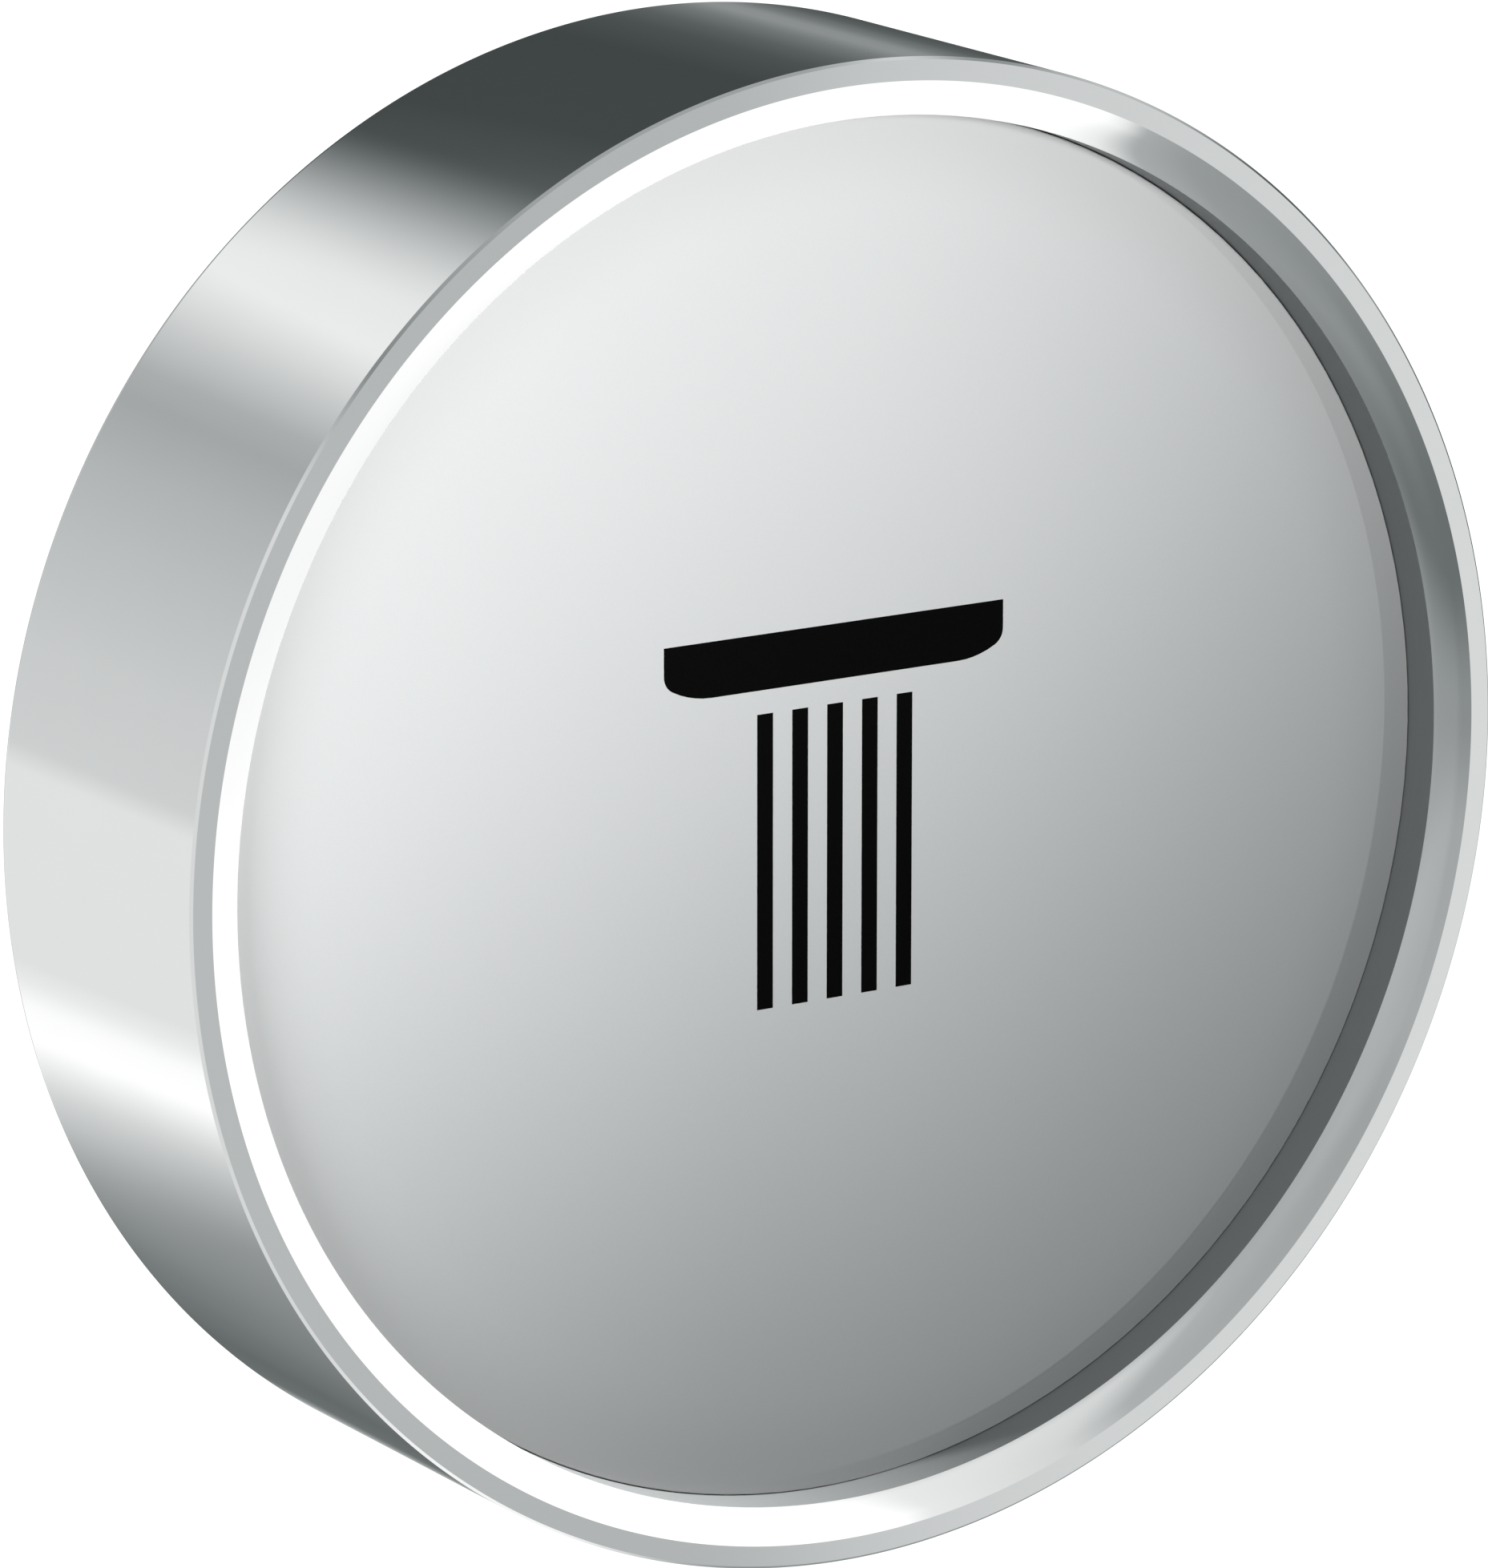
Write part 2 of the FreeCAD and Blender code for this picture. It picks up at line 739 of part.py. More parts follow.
open_ring("cap_circlip", "snap_inner", "snap_outer", "snap_gap_half", "cap_rear_y", "snap_thickness")
open_ring(
    "retaining_clip", "clip_groove_radius", "clip_outer", "clip_gap_half", "clip_front_y", "clip_thickness"
)


# ---- face disc and symbol ----
def draw_symbol(sketch):
    """A hand shower: the head bar on top and five streams of water below it.
    Each lower corner of the bar is drawn with two curves that join, tight at the side and wide below."""
    outline(
        sketch,
        [
            ("- head_half", "head_top"),
            ("- head_half", "head_bottom + head_corner_high"),
            ("- head_half + head_join_in", "head_bottom + head_join_up"),
            ("- head_half + head_corner_wide", "head_bottom"),
            ("head_half - head_corner_wide", "head_bottom"),
            ("head_half - head_join_in", "head_bottom + head_join_up"),
            ("head_half", "head_bottom + head_corner_high"),
            ("head_half", "head_top"),
        ],
        {
            1: ("head_side_curve", True),
            2: ("head_base_curve", True),
            4: ("head_base_curve", True),
            5: ("head_side_curve", True),
        },
    )
    centres = ["- stream_pitch_twice", "- stream_pitch", "0", "stream_pitch", "stream_pitch_twice"]
    for centre in centres:
        outline(
            sketch,
            [
                (centre + " - stream_half", "- stream_bottom"),
                (centre + " + stream_half", "- stream_bottom"),
                (centre + " + stream_half", "stream_top"),
                (centre + " - stream_half", "stream_top"),
            ],
        )


face_disc = turned_body(
    "face_disc",
    [
        ("0", "- disc_front"),
        ("disc_radius - disc_break", "- disc_front"),
        ("disc_radius", "- disc_front + disc_break"),
        ("disc_radius", "- disc_rear"),
        ("0", "- disc_rear"),
    ],
)
recess_sketch = new_sketch(face_disc, "XZ_Plane", "symbol_recess", "disc_front")
draw_symbol(recess_sketch)
cut(face_disc, recess_sketch, "symbol_depth", "symbol_recess_cut")

symbol_inlay = new_body("symbol_inlay")
inlay_sketch = new_sketch(symbol_inlay, "XZ_Plane", "symbol_outline", "disc_front - symbol_depth")
draw_symbol(inlay_sketch)
pad(symbol_inlay, inlay_sketch, "symbol_depth", "symbol_pad")

turned_body(
    "disc_bond",
    [
        ("bond_inner", "- disc_rear"),
        ("bond_outer", "- disc_rear"),
        ("bond_outer", "- bond_rear"),
        ("bond_inner", "- bond_rear"),
    ],
)

# ---- button carrier: plate with a skirt, seal groove, screw seat and three guide bosses ----
carrier = turned_body(
    "button_carrier",
    [
        ("screw_hole", "- stem_seat"),
        ("stem_radius", "- stem_seat"),
        ("stem_radius", "- carrier_rear"),
        ("skirt_inner", "- carrier_rear"),
        ("skirt_inner", "- skirt_rear"),
        ("carrier_radius", "- skirt_rear"),
        ("carrier_radius", "- rim_seal_rear"),
        ("rim_seal_groove", "- rim_seal_rear"),
        ("rim_seal_groove", "- rim_seal_front"),
        ("carrier_radius", "- rim_seal_front"),
        ("carrier_radius", "- bond_rear"),
        ("screw_head_radius", "- bond_rear"),
        ("screw_hole", "- bond_rear + screw_head_radius - screw_hole"),
    ],
)
boss_sketch = new_sketch(carrier, "XZ_Plane", "guide_boss", "boss_rear")
circle(boss_sketch, "0", "guide_circle", "boss_radius")
boss = pad(carrier, boss_sketch, "carrier_rear - boss_rear + edge_break", "guide_boss_pad")
repeat_round(carrier, [boss], boss_sketch, "guide_count", "guide_bosses")
boss_hole_sketch = new_sketch(carrier, "XZ_Plane", "boss_hole", "bond_rear")
circle(boss_hole_sketch, "0", "guide_circle", "slide_bush_outer")
boss_hole = cut(carrier, boss_hole_sketch, "bond_rear", "boss_hole_cut", through=True)
repeat_round(carrier, [boss_hole], boss_hole_sketch, "guide_count", "boss_holes")

slide_bushes = new_body("carrier_bushes")
slide_sketch = new_sketch(slide_bushes, "XZ_Plane", "slide_bush", "slide_bush_rear")
circle(slide_sketch, "0", "guide_circle", "slide_bush_outer")
circle(slide_sketch, "0", "guide_circle", "slide_bush_inner")
slide_bush = pad(slide_bushes, slide_sketch, "slide_bush_front - slide_bush_rear", "slide_bush_pad")
repeat_round(slide_bushes, [slide_bush], slide_sketch, "guide_count", "slide_bush_ring")

disc_seal = document.addObject("Part::Torus", "disc_seal")
bind(disc_seal, "Radius1", "rim_seal_centre")
bind(disc_seal, "Radius2", "rim_seal_wire")
disc_seal.Placement.Rotation = FreeCAD.Rotation(FreeCAD.Vector(1, 0, 0), 90)
bind(disc_seal, "Placement.Base.y", "- rim_seal_middle")
disc_seal.Label = "disc_seal"
pieces.append(disc_seal)

# ---- stem: front seat, spring collar, guide length, rod, clip groove and tapped rear end ----
stem = turned_body(
    "stem",
    [
        ("0", "screw_hole_end_y + drill_point"),
        ("screw_radius", "screw_hole_end_y"),
        ("screw_radius", "- stem_seat"),
        ("stem_radius", "- stem_seat"),
        ("stem_radius", "- carrier_rear"),
        ("collar_radius", "- carrier_rear"),
        ("collar_radius", "- collar_rear"),
        ("stem_radius", "- collar_rear"),
        ("stem_radius", "shoulder_y"),
        ("rod_radius", "shoulder_y"),
        ("rod_radius", "clip_front_y"),
        ("clip_groove_radius", "clip_front_y"),
        ("clip_groove_radius", "clip_rear_y"),
        ("rod_radius", "clip_rear_y"),
        ("rod_radius", "rod_end_y - rod_break"),
        ("rod_radius - rod_break", "rod_end_y"),
        ("rod_thread_radius", "rod_end_y"),
        ("rod_thread_radius", "rod_thread_end_y"),
        ("0", "rod_thread_end_y - drill_point"),
    ],
)
stem_hole_sketch = new_sketch(stem, "YZ_Plane", "stem_pin_hole", "cam_half")
circle(stem_hole_sketch, "pin_hole_y", "0", "pin_hole_radius")
cut(stem, stem_hole_sketch, "cam_half + cam_half", "stem_pin_hole_cut")

screw_blank = turned_body(
    "stem_screw_blank",
    [
        ("0", "- bond_rear"),
        ("screw_head_radius", "- bond_rear"),
        ("screw_radius", "- bond_rear + screw_head_radius - screw_radius"),
        ("screw_radius", "- screw_end_back - edge_break"),
        ("screw_radius - edge_break", "- screw_end_back"),
        ("0", "- screw_end_back"),
    ],
)
pieces.remove(screw_blank)
socket = document.addObject("Part::Prism", "stem_screw_socket")
socket.Polygon = 6
bind(socket, "Circumradius", "socket_corner")
bind(socket, "Height", "socket_depth")
socket.Placement.Rotation = FreeCAD.Rotation(FreeCAD.Vector(1, 0, 0), -90)
bind(socket, "Placement.Base.y", "- bond_rear")
stem_screw = document.addObject("Part::Cut", "stem_screw")
stem_screw.Base = screw_blank
stem_screw.Tool = socket
stem_screw.Label = "stem_screw"
pieces.append(stem_screw)

# ---- heart cam: block on the rod with the latch's closed track on top ----
heart_cam = new_body("heart_cam")
cam_sketch = new_sketch(heart_cam, "XZ_Plane", "cam_block", "- cam_rear_y")
outline(
    cam_sketch,
    [
        ("- cam_half", "- cam_bottom"),
        ("cam_half", "- cam_bottom"),
        ("cam_half", "cam_top"),
        ("- cam_half", "cam_top"),
    ],
)
circle(cam_sketch, "0", "0", "rod_radius")
pad(heart_cam, cam_sketch, "cam_length", "cam_block_pad")
track_sketch = new_sketch(heart_cam, "XY_Plane", "cam_track", "cam_top")
outline(
    track_sketch,
    [
        ("- track_half", "track_front_y"),
        ("track_half", "track_front_y"),
        ("track_half", "track_rear_y"),
        ("- track_half", "track_rear_y"),
    ],
)
outline(
    track_sketch,
    [
        ("heart_point_half", "heart_point_y"),
        ("- heart_point_half", "heart_point_y"),
        ("- heart_half", "heart_side_y"),
        ("- heart_half", "horn_side_y"),
        ("- horn_outer", "horn_tip_y"),
        ("- horn_inner", "horn_tip_y"),
        ("- notch_half", "notch_side_y"),
        ("0", "notch_floor_y"),
        ("notch_half", "notch_side_y"),
        ("horn_inner", "horn_tip_y"),
        ("horn_outer", "horn_tip_y"),
        ("heart_half", "horn_side_y"),
        ("heart_half", "heart_side_y"),
    ],
)
cut(heart_cam, track_sketch, "track_depth", "cam_track_cut")
cam_hole_sketch = new_sketch(heart_cam, "YZ_Plane", "cam_pin_hole", "cam_half")
circle(cam_hole_sketch, "pin_hole_y", "0", "pin_hole_radius")
cut(heart_cam, cam_hole_sketch, "cam_half + cam_half", "cam_pin_hole_cut")

cam_pin = document.addObject("Part::Cylinder", "cam_pin")
bind(cam_pin, "Radius", "pin_hole_radius")
bind(cam_pin, "Height", "pin_half_length + pin_half_length")
cam_pin.Placement.Rotation = FreeCAD.Rotation(FreeCAD.Vector(0, 1, 0), 90)
bind(cam_pin, "Placement.Base.x", "- pin_half_length")
bind(cam_pin, "Placement.Base.y", "pin_hole_y")
cam_pin.Label = "cam_pin"
pieces.append(cam_pin)

# ---- latch pin: bent wire, drawn with its pivot at the origin and turned to its rest place ----
latch_pin = new_body("latch_pin")
wire_path = new_sketch(latch_pin, "YZ_Plane", "wire_path")
wire_corners = [
    ("- arm_length", "- tip_drop"),
    ("- arm_length", "- wire_bend"),
    ("- arm_length + wire_bend", "0"),
    ("- wire_bend", "0"),
    ("0", "- wire_bend"),
    ("0", "- pivot_drop"),
]
wire_points = [FreeCAD.Vector(number(across), number(up), 0) for across, up in wire_corners]
path_ends = []
for index in range(len(wire_points) - 1):
    first, second = wire_points[index:index + 2]
    is_bend = index % 2 == 1
    if is_bend:
        bend = arc_between(first, second, SIZES["wire_bend"], False)
        geometry = wire_path.addGeometry(bend)
        add_bound(wire_path, "Radius", (geometry,), "wire_bend")
        path_ends.append((geometry, 2, 1))
    else:
        path_ends.append((wire_path.addGeometry(Part.LineSegment(first, second)), 1, 2))
    hold(wire_path, path_ends[-1][0], path_ends[-1][1], *wire_corners[index])
    if index:
        before, _, before_end = path_ends[index - 1]
        geometry, start, _ = path_ends[index]
        wire_path.addConstraint(Sketcher.Constraint("Coincident", before, before_end, geometry, start))
hold(wire_path, path_ends[-1][0], path_ends[-1][2], *wire_corners[-1])
wire_section = new_sketch(latch_pin, "XY_Plane", "wire_section", "- tip_drop")
circle(wire_section, "0", "- arm_length", "wire_radius")
wire = latch_pin.newObject("PartDesign::AdditivePipe", "latch_wire")
wire.Profile = wire_section
wire.Spine = wire_path
rest_turn = -math.degrees(math.asin(SIZES["arm_offset"] / SIZES["arm_length"]))
latch_pin.Placement = FreeCAD.Placement(
    FreeCAD.Vector(0, SIZES["pivot_y"], SIZES["arm_z"]),
    FreeCAD.Rotation(FreeCAD.Vector(0, 0, 1), rest_turn),
)
bind(latch_pin, "Placement.Base.y", "pivot_y")
bind(latch_pin, "Placement.Base.z", "arm_z")
document.recompute()

# ---- leaf spring: thin strip held in the cap's slot, resting over the latch pin's arm ----
leaf_spring = new_body("latch_leaf_spring")
leaf_sketch = new_sketch(leaf_spring, "YZ_Plane", "leaf_side", "- leaf_half")
leaf_bottom = [
    ("leaf_root_y", "leaf_root_z"),
    ("leaf_bend_y", "leaf_root_z"),
    ("leaf_touch_y", "leaf_touch_z"),
    ("leaf_end_y", "leaf_end_z"),
]
leaf_top = [(along, height + " + leaf_thickness") for along, height in reversed(leaf_bottom)]
outline(leaf_sketch, leaf_bottom + leaf_top)
pad(leaf_spring, leaf_sketch, "leaf_half + leaf_half", "leaf_pad")


# ---- return spring: closed end coils and open coils between them ----
def spring_path():
    """The wire's centre line, from the front end to the rear end."""
    end_coils = SIZES["spring_end_coils"]
    free_coils = SIZES["spring_free_coils"]
    end_rise = end_coils * SIZES["spring_end_pitch"]
    front = -SIZES["collar_rear"] + SIZES["spring_wire"]
    rear = SIZES["well_floor_y"] - SIZES["spring_wire"]
    free_pitch = (rear - front - 2 * end_rise) / free_coils
    steps_per_coil = 24
    total_coils = 2 * end_coils + free_coils
    points = []
    for step in range(int(total_coils * steps_per_coil) + 1):
        coils = step / steps_per_coil
        in_front = min(coils, end_coils)
        in_middle = min(max(coils - end_coils, 0.0), free_coils)
        in_rear = max(coils - end_coils - free_coils, 0.0)
        along = front + (in_front + in_rear) * SIZES["spring_end_pitch"] + in_middle * free_pitch
        angle = 2 * math.pi * coils
        radius = SIZES["spring_radius"]
        points.append(FreeCAD.Vector(radius * math.cos(angle), along, radius * math.sin(angle)))
    return points


centre_line = Part.BSplineCurve()
centre_line.interpolate(spring_path())
start_point = centre_line.value(centre_line.FirstParameter)
start_tangent = centre_line.tangent(centre_line.FirstParameter)[0]
section = Part.Wire([Part.makeCircle(SIZES["spring_wire"], start_point, start_tangent)])
return_spring = document.addObject("Part::Feature", "return_spring")
return_spring.Label = "return_spring"
return_spring.Shape = Part.Wire([centre_line.toShape()]).makePipeShell([section], True, True)
return_spring.Placement = FreeCAD.Placement()
pieces.append(return_spring)

# ---- check every object, then write each piece ----
document.recompute()
for item in document.Objects:
    if "Invalid" in item.State or "Error" in item.State:
        raise ValueError(item.Name + " failed to build")
os.makedirs("parts", exist_ok=True)
for piece in pieces:
    shape = piece.Shape
    if shape.isNull() or not shape.isValid() or shape.Volume <= 0:
        raise ValueError(piece.Label + " has no valid shape")
    shape.exportStep(os.path.join("parts", piece.Label + ".step"))
    print(piece.Label, len(shape.Solids), round(shape.Volume, 3))
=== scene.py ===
import json
import math

import bmesh
import bpy
from mathutils import Matrix, Vector


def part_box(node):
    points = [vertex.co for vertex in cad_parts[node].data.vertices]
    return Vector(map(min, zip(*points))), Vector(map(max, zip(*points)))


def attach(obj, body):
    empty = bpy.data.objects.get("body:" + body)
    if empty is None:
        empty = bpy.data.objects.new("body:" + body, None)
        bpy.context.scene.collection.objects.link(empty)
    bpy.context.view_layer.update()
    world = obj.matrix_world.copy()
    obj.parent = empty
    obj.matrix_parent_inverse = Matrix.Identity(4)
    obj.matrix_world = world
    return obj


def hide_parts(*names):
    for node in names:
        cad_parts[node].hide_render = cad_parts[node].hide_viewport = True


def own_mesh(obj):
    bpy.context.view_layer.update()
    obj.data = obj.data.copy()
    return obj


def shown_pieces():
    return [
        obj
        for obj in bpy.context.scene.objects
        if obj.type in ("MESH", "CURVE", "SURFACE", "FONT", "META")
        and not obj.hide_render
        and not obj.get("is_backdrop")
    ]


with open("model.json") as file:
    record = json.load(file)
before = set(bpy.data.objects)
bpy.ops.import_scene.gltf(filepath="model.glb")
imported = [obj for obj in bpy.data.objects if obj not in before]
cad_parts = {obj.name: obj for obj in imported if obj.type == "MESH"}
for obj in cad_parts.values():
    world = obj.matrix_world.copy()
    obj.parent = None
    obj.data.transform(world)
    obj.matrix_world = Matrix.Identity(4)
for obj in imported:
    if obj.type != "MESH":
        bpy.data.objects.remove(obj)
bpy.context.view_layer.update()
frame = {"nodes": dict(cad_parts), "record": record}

MM = 0.001
RING_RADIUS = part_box("bezel_ring")[1].x / MM
RING_DEPTH = -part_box("bezel_ring")[0].y / MM
DISC_FRONT = -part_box("face_disc")[0].y / MM
RIM_WIDTH = 0.77
RIM_INNER = RING_RADIUS - RIM_WIDTH
DISC_GAP = 0.03
BORE_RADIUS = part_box("face_disc")[1].x / MM + DISC_GAP
CHAMFER_DEPTH = 0.52
LIP_INNER = 20.0
LIP_HEIGHT = 1.6
GASKET_INNER = 22.2
GASKET_OUTER = 24.0
GASKET_DEPTH = 0.9


# ---------------------------------------------------------------- node helpers
def new_material(name):
    """An empty node material with its principled shader."""
    material = bpy.data.materials.new(name)
    material.use_nodes = True
    tree = material.node_tree
    tree.nodes.clear()
    output = tree.nodes.new("ShaderNodeOutputMaterial")
    shader = tree.nodes.new("ShaderNodeBsdfPrincipled")
    tree.links.new(shader.outputs["BSDF"], output.inputs["Surface"])
    return material, tree, shader


def feed(tree, socket, value):
    """Links a socket to an input, or sets the input to a plain value."""
    if isinstance(value, bpy.types.NodeSocket):
        tree.links.new(value, socket)
    else:
        socket.default_value = value


def math_node(tree, operation, first, second=0.0):
    """One math node; inputs are sockets or numbers."""
    node = tree.nodes.new("ShaderNodeMath")
    node.operation = operation
    feed(tree, node.inputs[0], first)
    feed(tree, node.inputs[1], second)
    return node.outputs[0]


def between(tree, value, low, high):
    """Stretches a 0 to 1 value to run from low to high."""
    node = tree.nodes.new("ShaderNodeMapRange")
    feed(tree, node.inputs["Value"], value)
    node.inputs["To Min"].default_value = low
    node.inputs["To Max"].default_value = high
    return node.outputs[0]


def smooth_step(tree, value, start, stop):
    """0 below start, 1 above stop, smooth between."""
    node = tree.nodes.new("ShaderNodeMapRange")
    node.interpolation_type = "SMOOTHSTEP"
    feed(tree, node.inputs["Value"], value)
    node.inputs["From Min"].default_value = start
    node.inputs["From Max"].default_value = stop
    return node.outputs[0]


def mix(tree, weight, first, second):
    """Mixes two colours; each input is a socket or a plain value.
    Inputs 6 and 7 and output 2 are the node's colour sockets."""
    node = tree.nodes.new("ShaderNodeMix")
    node.data_type = "RGBA"
    feed(tree, node.inputs["Factor"], weight)
    feed(tree, node.inputs[6], first)
    feed(tree, node.inputs[7], second)
    return node.outputs[2]


def ramp(tree, value, low, high, stops):
    """Grey levels over a range: stops are (position, linear grey), from low to high."""
    scaled = tree.nodes.new("ShaderNodeMapRange")
    feed(tree, scaled.inputs["Value"], value)
    scaled.inputs["From Min"].default_value = low
    scaled.inputs["From Max"].default_value = high
    node = tree.nodes.new("ShaderNodeValToRGB")
    elements = node.color_ramp.elements
    while len(elements) > 1:
        elements.remove(elements[-1])
    for index, (position, grey) in enumerate(stops):
        place = (position - low) / (high - low)
        element = elements[0] if index == 0 else elements.new(place)
        element.position = place
        element.color = (grey, grey, grey, 1.0)
    tree.links.new(scaled.outputs[0], node.inputs[0])
    return node.outputs["Color"]


def surface_place(tree):
    """The shaded point in the row frame, in metres."""
    return tree.nodes.new("ShaderNodeTexCoord").outputs["Object"]


def noise(tree, vector, size_mm, detail=3.0):
    """Noise whose blotches are about size_mm across."""
    node = tree.nodes.new("ShaderNodeTexNoise")
    feed(tree, node.inputs["Vector"], vector)
    node.inputs["Scale"].default_value = 1.0 / (size_mm * MM)
    node.inputs["Detail"].default_value = detail
    return node.outputs["Fac"]


def round_axis(tree):
    """The shaded point as radius from the Y axis, place along it and angle round it."""
    parts = tree.nodes.new("ShaderNodeSeparateXYZ")
    tree.links.new(surface_place(tree), parts.inputs[0])
    across, along, height = parts.outputs
    square = math_node(tree, "ADD", math_node(tree, "MULTIPLY", across, across),
                       math_node(tree, "MULTIPLY", height, height))
    return math_node(tree, "SQRT", square), along, math_node(tree, "ARCTAN2", across, height)


def turned_place(tree, lay=0.02):
    """A place for marks that run round the Y axis: it hardly changes with the angle round it."""
    radius, along, turn = round_axis(tree)
    angle = math_node(tree, "MULTIPLY", turn, lay * MM)
    join = tree.nodes.new("ShaderNodeCombineXYZ")
    for socket, value in zip(join.inputs, (radius, along, angle)):
        feed(tree, socket, value)
    return join.outputs[0]


def stretched_place(tree, stretch):
    """The shaded point with each axis scaled, for drawn or rolled marks."""
    node = tree.nodes.new("ShaderNodeVectorMath")
    node.operation = "MULTIPLY"
    tree.links.new(surface_place(tree), node.inputs[0])
    node.inputs[1].default_value = stretch
    return node.outputs[0]


def bump(tree, shader, height, depth_mm):
    """Raises the surface by a height socket."""
    node = tree.nodes.new("ShaderNodeBump")
    node.inputs["Distance"].default_value = depth_mm * MM
    tree.links.new(height, node.inputs["Height"])
    tree.links.new(node.outputs[0], shader.inputs["Normal"])


def edge_share(tree, reach_mm):
    """1 on outer edges and 0 on open faces, within reach of the edge."""
    bevel = tree.nodes.new("ShaderNodeBevel")
    bevel.samples = 4
    bevel.inputs["Radius"].default_value = reach_mm * MM
    geometry = tree.nodes.new("ShaderNodeNewGeometry")
    dot = tree.nodes.new("ShaderNodeVectorMath")
    dot.operation = "DOT_PRODUCT"
    tree.links.new(bevel.outputs[0], dot.inputs[0])
    tree.links.new(geometry.outputs["Normal"], dot.inputs[1])
    turned_away = math_node(tree, "SUBTRACT", 1.0, dot.outputs["Value"])
    return smooth_step(tree, turned_away, 0.02, 0.25)


# ---------------------------------------------------------------- studio surroundings
def build_world():
    """Soft studio light as the ring reflects it: bright cards on the right and behind on the left,
    greyer room in front and to the left. The camera itself sees plain white, and matte surfaces get
    only a weak cool glow, because lamps light them."""
    world = bpy.data.worlds.new("studio")
    bpy.context.scene.world = world
    world.use_nodes = True
    tree = world.node_tree
    tree.nodes.clear()
    output = tree.nodes.new("ShaderNodeOutputWorld")
    direction = tree.nodes.new("ShaderNodeTexCoord").outputs["Generated"]
    parts = tree.nodes.new("ShaderNodeSeparateXYZ")
    tree.links.new(direction, parts.inputs[0])
    across, along, height = parts.outputs
    degrees = 180.0 / math.pi
    front = math_node(tree, "MULTIPLY", along, -1.0)
    azimuth = math_node(tree, "MULTIPLY", math_node(tree, "ARCTAN2", across, front), degrees)
    elevation = math_node(tree, "MULTIPLY", math_node(tree, "ARCSINE", height), degrees)
    # azimuth 0 is straight in front of the button, 90 to its right and 180 behind it
    behind = math_node(tree, "MODULO", math_node(tree, "ADD", azimuth, 360.0), 360.0)

    # the room in front of the button, as bands from below to above: each is an elevation and its stops,
    # and each stop is an azimuth and the grey seen there
    left_card = [(-90, 0.45), (-75, 0.70), (-53, 0.70)]
    below = [(-45, 0.09), (-26, 0.10), (-21, 0.125), (-15, 0.17), (-8, 0.225), (0, 0.275), (9, 0.305),
             (18, 0.33), (25, 0.42), (28, 0.85), (31, 1.05)]
    bands = [
        (-72, [(-52, 0.95), (-10, 0.95), (10, 0.30), (20, 0.33), (28, 0.85), (31, 1.05)]),
        (-60, below),
        (-38, below),
        (-25, [(-45, 0.13), (-26, 0.14), (-21, 0.155), (0, 0.165), (9, 0.21), (20, 0.34), (28, 0.44),
               (32, 0.44), (34, 0.64), (37, 0.68), (43, 0.96)]),
        (-15, [(-45, 0.19), (-26, 0.21), (-21, 0.26), (-15, 0.31), (0, 0.32), (20, 0.42), (28.5, 0.51),
               (32.2, 0.47), (33.4, 0.64), (37, 0.71), (46, 1.05)]),
        (-6, [(-45, 0.24), (-26, 0.28), (-21, 0.37), (-15, 0.43), (0, 0.46), (20, 0.44), (28.5, 0.46),
              (32.2, 0.46), (33.4, 0.60), (37, 0.66), (46, 1.1)]),
        (4, [(-45, 0.28), (-26, 0.33), (-15, 0.42), (0, 0.44), (12, 0.41), (20, 0.44), (28, 0.62),
             (33, 0.9), (38, 1.1)]),
        (14, [(-45, 0.25), (-26, 0.30), (-15, 0.36), (0, 0.40), (10, 0.44), (17, 0.68), (26, 0.79),
              (30, 0.84), (33, 1.1)]),
    ]
    bottom, stops = bands[0]
    in_front = ramp(tree, azimuth, -90, 120, left_card + stops)
    for top, stops in bands[1:]:
        rise = smooth_step(tree, elevation, bottom, top)
        in_front = mix(tree, rise, in_front, ramp(tree, azimuth, -90, 120, left_card + stops))
        bottom = top
    # the bright card on the right ends above and below
    far_right = smooth_step(tree, azimuth, 72, 84)
    high = smooth_step(tree, elevation, 18, 45)
    low = smooth_step(tree, math_node(tree, "MULTIPLY", elevation, -1.0), 46, 62)
    past_card = math_node(tree, "MULTIPLY", far_right, math_node(tree, "ADD", high, low))
    dim_corner = (0.28, 0.28, 0.28, 1)
    in_front = mix(tree, past_card, in_front, dim_corner)

    left_behind = ramp(tree, elevation, -60, 60, [
        (-50, 0.28), (-33.3, 0.33), (-32, 0.45), (-30, 0.68), (-27.5, 1.04), (-25.5, 1.0), (-24, 0.85),
        (-22.5, 0.77), (-8, 0.775),
        (-6, 0.64), (2, 0.61), (7, 0.565), (12, 0.52), (17, 0.465), (21.5, 0.39), (23.5, 0.43),
        (26, 0.60), (29, 0.86), (31, 0.82), (33, 0.70), (50, 0.5)])
    right_behind = ramp(tree, elevation, -60, 60, [
        (-50, 0.30), (-34, 0.25), (-31, 0.18), (-28, 0.142), (-24, 0.16), (-22, 0.30), (-20, 0.5),
        (-16, 0.4), (-10, 0.09), (-5, 0.09), (-1.5, 0.115), (2, 0.19), (4.2, 0.275), (6, 0.285),
        (8.7, 0.19), (12, 0.118), (15, 0.083), (20, 0.060), (29, 0.062), (31, 0.079), (34, 0.15),
        (50, 0.2)])
    to_left = smooth_step(tree, behind, 171, 189.5)
    at_back = mix(tree, to_left, right_behind, left_behind)

    from_right = smooth_step(tree, behind, 88, 104)
    from_left = smooth_step(tree, behind, 230, 290)
    is_behind = math_node(tree, "SUBTRACT", from_right, from_left)
    around = mix(tree, is_behind, in_front, at_back)
